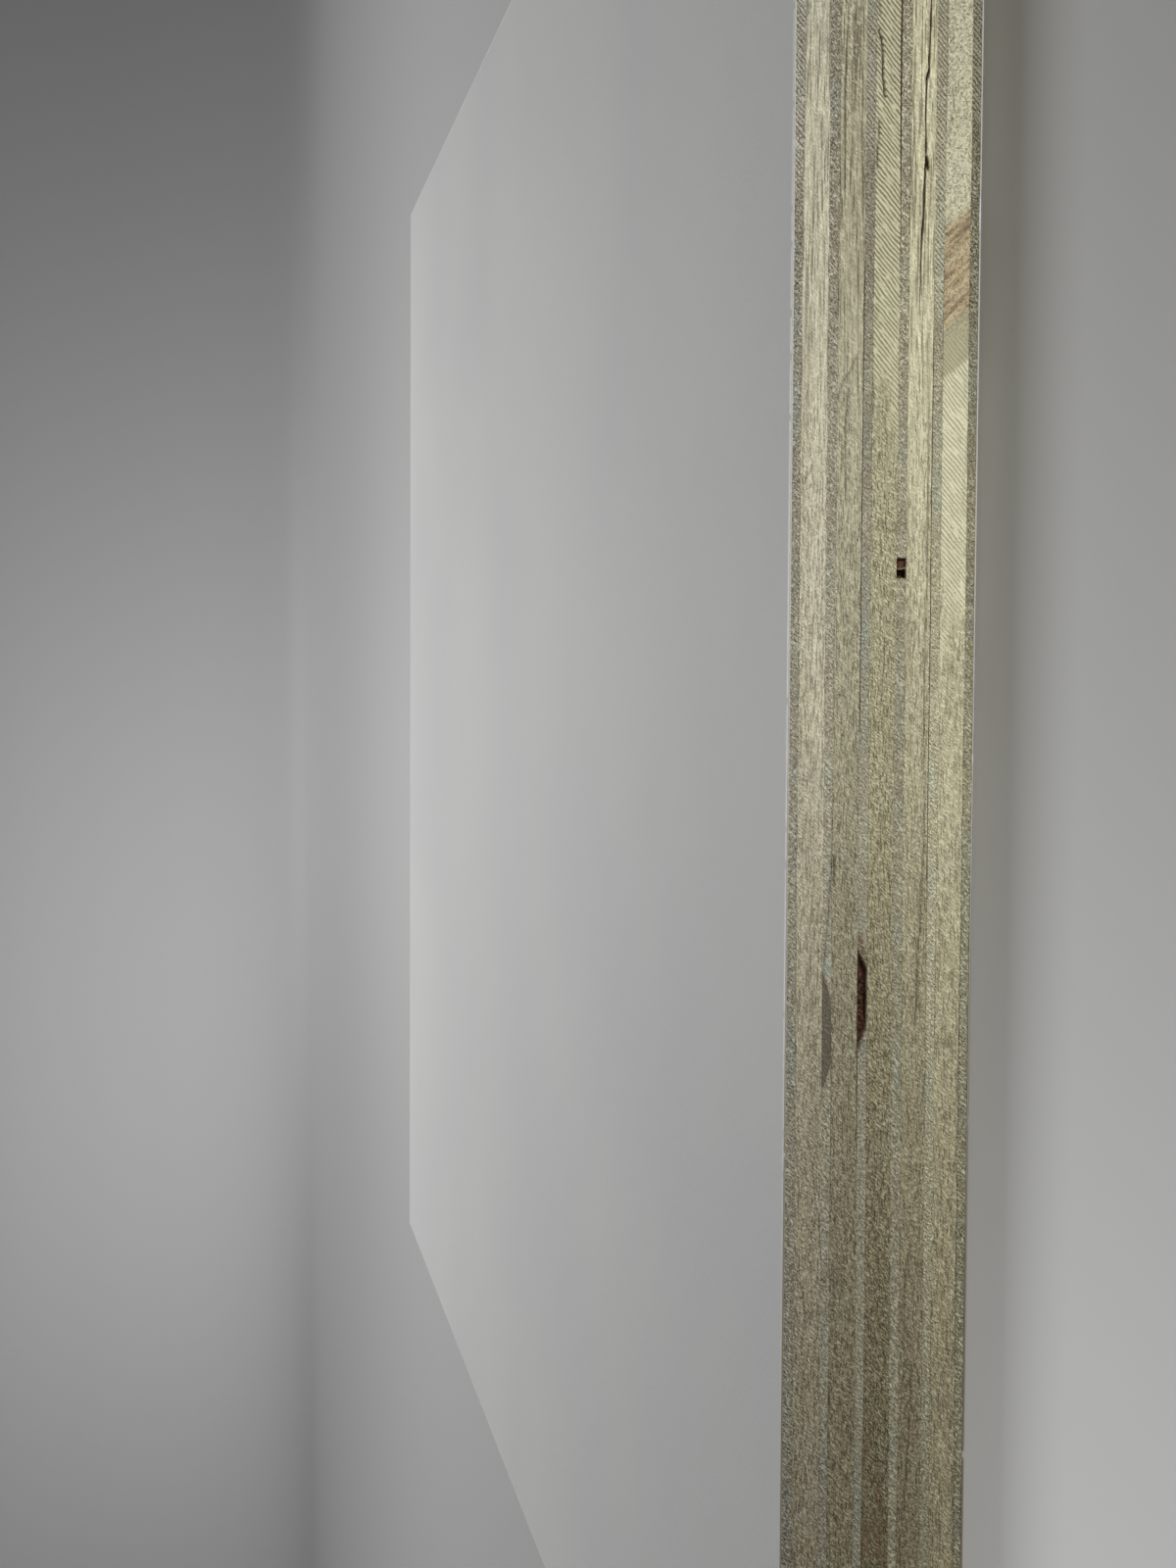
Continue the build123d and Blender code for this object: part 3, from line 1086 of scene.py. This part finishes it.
def veneer(name, index):
    """Sawn edge of a veneer, with its long grain and end grain on the edges where each belongs."""
    wood = Wood(name, index)
    ridges, marks = wood_marks(wood)
    tone = stained(wood, bare_tone(wood), DEEP_STAINS)
    tone = stained(wood, marks_and_painted_relief_light(wood, tone, ridges, marks), SURFACE_STAINS)
    tone = recess_shade_and_bark(wood, lightness_and_painted_light(wood, tone))
    normal = wood.bump(wood.minus(ridges, wood.times(marks, 0.6)), 0.00012)
    roughness = wood.line(ridges, 0.0, 1.0, 0.85, 0.7)
    wood.shader.inputs["Specular IOR Level"].default_value = 0.3
    return wood.finish(Base_Color=tone, Roughness=roughness, Normal=normal)


# Camera: the eye, where it looks, and how far it leans over to the side

EYE = Vector((12.61, -375.26, 72.95)) * MM
AIM = Vector((2.70, -180.0, 37.31)) * MM
CAMERA_ROLL = math.radians(90.22)
LENS = 49.5


def make_camera():
    camera = bpy.data.objects.new("camera", bpy.data.cameras.new("camera"))
    camera.data.lens = LENS
    camera.data.sensor_width = 36
    camera.data.clip_start = 0.005
    camera.data.clip_end = 20
    level = (AIM - EYE).to_track_quat("-Z", "Y").to_matrix().to_4x4()
    camera.matrix_world = Matrix.Translation(EYE) @ level @ Matrix.Rotation(-CAMERA_ROLL, 4, "Z")
    bpy.context.scene.collection.objects.link(camera)
    bpy.context.scene.camera = camera


# Studio: a round floor that bends up into a wall, in metres. It lies just under the panel

FLOOR_GREY = (0.5, 0.5, 0.5, 1.0)
FLOOR_RINGS = (0.6, 1.4)
BEND_RADIUS = 1.4
BEND_STEPS = 12
WALL_TOP = 3.0
FLOOR_DROP = 0.00002
TURNS = 96

# What the lights that are linked fall on: the panel's pieces, or the floor
PANEL = bpy.data.collections.new("panel")
STAGE = bpy.data.collections.new("stage")

# Lights: name, place, aim, width and height, power and spread in degrees. The first ones light everything,
# the next only the floor. The low ones for the edges light only the panel, from below its upper face
ROOM_LIGHTS = [
    ("overhead", (0.0, 0.5, 0.8), (0.0, 0.15, 0.0), (0.5, 0.5), 3.8, 180),
    ("far_pool", (0.0, 0.3, 0.45), (-0.01, 0.26, 0.0), (0.2, 0.2), 0.12, 90),
    ("middle_pool", (0.01, -0.02, 0.16), (0.01, -0.02, 0.0), (0.08, 0.2), 0.012, 120),
    ("far_wall", (-0.27, 1.5, 0.8), (-0.32, 2.5, 0.2), (0.5, 0.4), 5.0, 180),
]
FLOOR_LIGHTS = [
    ("near_floor", (-0.09, -0.23, 0.13), (-0.08, -0.2, 0.0), (0.1, 0.06), 0.065, 140),
    ("far_floor", (-0.08, 1.12, 0.45), (-0.08, 1.15, 0.0), (0.25, 0.25), 1.0, 180),
    ("front_wall", (0.0, -0.9, 0.9), (0.0, -2.3, 0.2), (0.8, 0.5), 6.0, 180),
]
EDGE_LIGHTS = [
    ("front_light", (0.15, -0.4, 0.009), (0.02, -0.18, 0.009), (0.03, 0.014), 0.056, 70),
    ("front_fill", (-0.05, -0.6, 0.009), (-0.02, -0.18, 0.009), (0.5, 0.014), 0.11, 180),
    ("back_light", (0.1, 0.6, 0.008), (0.0, 0.18, 0.008), (0.4, 0.014), 0.5, 180),
    ("left_light", (-0.55, 0.1, 0.008), (-0.13, 0.0, 0.008), (0.5, 0.014), 0.8, 180),
    ("right_light", (0.55, -0.1, 0.008), (0.13, 0.0, 0.008), (0.5, 0.014), 0.8, 180),
]
SKY_STRENGTH = 0.15


def floor_profile():
    """Radius and height of each ring of the floor, its bend and its wall."""
    flat = FLOOR_RINGS[-1]
    profile = [(radius, 0.0) for radius in FLOOR_RINGS]
    for step in range(1, BEND_STEPS + 1):
        angle = math.pi / 2 * step / BEND_STEPS
        profile.append((flat + BEND_RADIUS * math.sin(angle), BEND_RADIUS - BEND_RADIUS * math.cos(angle)))
    return profile + [(flat + BEND_RADIUS, WALL_TOP)]


def make_stage():
    points = []
    faces = []
    for ring, (radius, height) in enumerate(floor_profile()):
        for k in range(TURNS):
            angle = 2 * math.pi * k / TURNS
            points.append((radius * math.cos(angle), radius * math.sin(angle), height - FLOOR_DROP))
            if ring:
                inner, outer = (ring - 1) * TURNS, ring * TURNS
                n = (k + 1) % TURNS
                faces.append((inner + k, outer + k, outer + n, inner + n))
    centre = len(points)
    points.append((0, 0, -FLOOR_DROP))
    faces += [(centre, k, (k + 1) % TURNS) for k in range(TURNS)]
    mesh = bpy.data.meshes.new("studio_floor")
    mesh.from_pydata(points, [], faces)
    mesh.shade_smooth()
    floor = bpy.data.objects.new("studio_floor", mesh)
    floor.data.materials.append(Nodes("studio_floor").finish(Base_Color=FLOOR_GREY, Roughness=0.6))
    bpy.context.scene.collection.objects.link(floor)
    STAGE.objects.link(floor)


def area_light(name, place, aim, size, power, spread):
    """A soft rectangular light that the camera doesn't see."""
    data = bpy.data.lights.new(name, "AREA")
    data.shape = "RECTANGLE"
    data.size, data.size_y = size
    data.energy = power
    data.spread = math.radians(spread)
    light = bpy.data.objects.new(name, data)
    light.location = place
    light.rotation_mode = "QUATERNION"
    light.rotation_quaternion = (Vector(aim) - Vector(place)).to_track_quat("-Z", "Y")
    light.visible_camera = False
    bpy.context.scene.collection.objects.link(light)
    return light


def make_lights():
    """Soft light from above and behind, lights for the floor and for the panel's edges, and a dim sky."""
    for row in ROOM_LIGHTS:
        area_light(*row)
    for rows, receivers in ((FLOOR_LIGHTS, STAGE), (EDGE_LIGHTS, PANEL)):
        for row in rows:
            area_light(*row).light_linking.receiver_collection = receivers
    world = bpy.data.worlds.new("soft_sky")
    world.use_nodes = True
    background = world.node_tree.nodes["Background"]
    background.inputs["Color"].default_value = (1.0, 1.0, 1.0, 1.0)
    background.inputs["Strength"].default_value = SKY_STRENGTH
    bpy.context.scene.world = world


make_camera()
make_stage()
make_lights()
bpy.context.scene.view_settings.view_transform = "Standard"

for index, name in enumerate(LAYERS):
    piece = make_layer(index)
    if name in FILMS:
        material = white_film(name)
    else:
        material = veneer(name, index)
    piece.data.materials.append(material)
    PANEL.objects.link(piece)
    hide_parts(name)
    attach(piece, "root")
